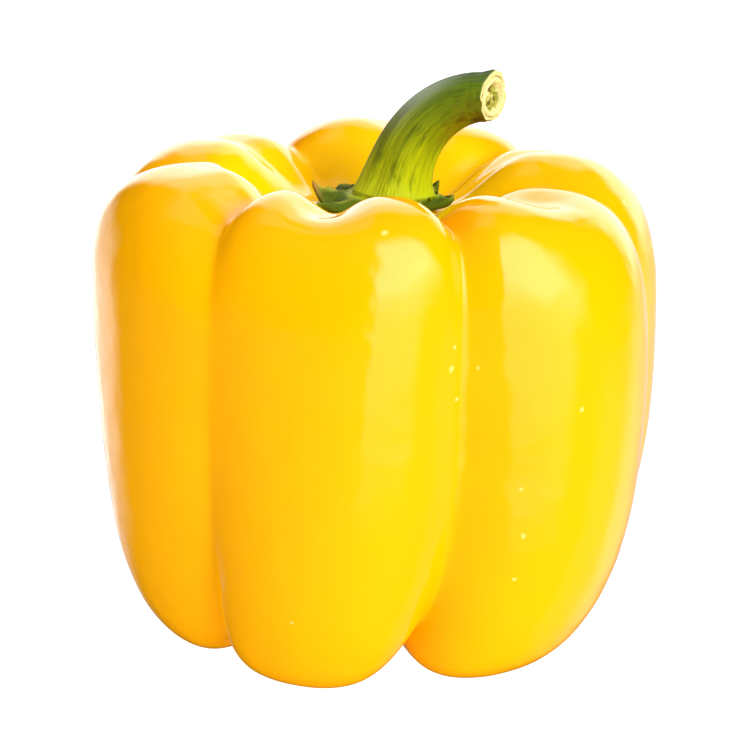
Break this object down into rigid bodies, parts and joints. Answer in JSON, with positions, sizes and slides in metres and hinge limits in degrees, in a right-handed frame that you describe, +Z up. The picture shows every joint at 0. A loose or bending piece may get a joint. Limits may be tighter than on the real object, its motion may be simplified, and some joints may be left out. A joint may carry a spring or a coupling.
{
  "type": "bell pepper",
  "caption": "Whole yellow bell pepper, blocky and lobed, with a cut green stem that bends over to one side, standing upright on its lobes.",
  "frame": {"origin": "on the surface that the pepper stands on, under the middle of its outline", "axes": "+Z up along the fruit's axis to the stem, -Y towards the side that faces the picture, +X to its right, the side the stem leans to"},
  "size_m": [0.0932, 0.0906, 0.0974],
  "materials": {
    "skin": "glossy waxy skin",
    "stem": "satin fibrous green stem",
    "pith": "dry torn pith"
  },
  "bodies": {
    "root": {"fruit": "skin", "stem": "stem", "stem_pith": "pith"}
  },
  "joints": []
}
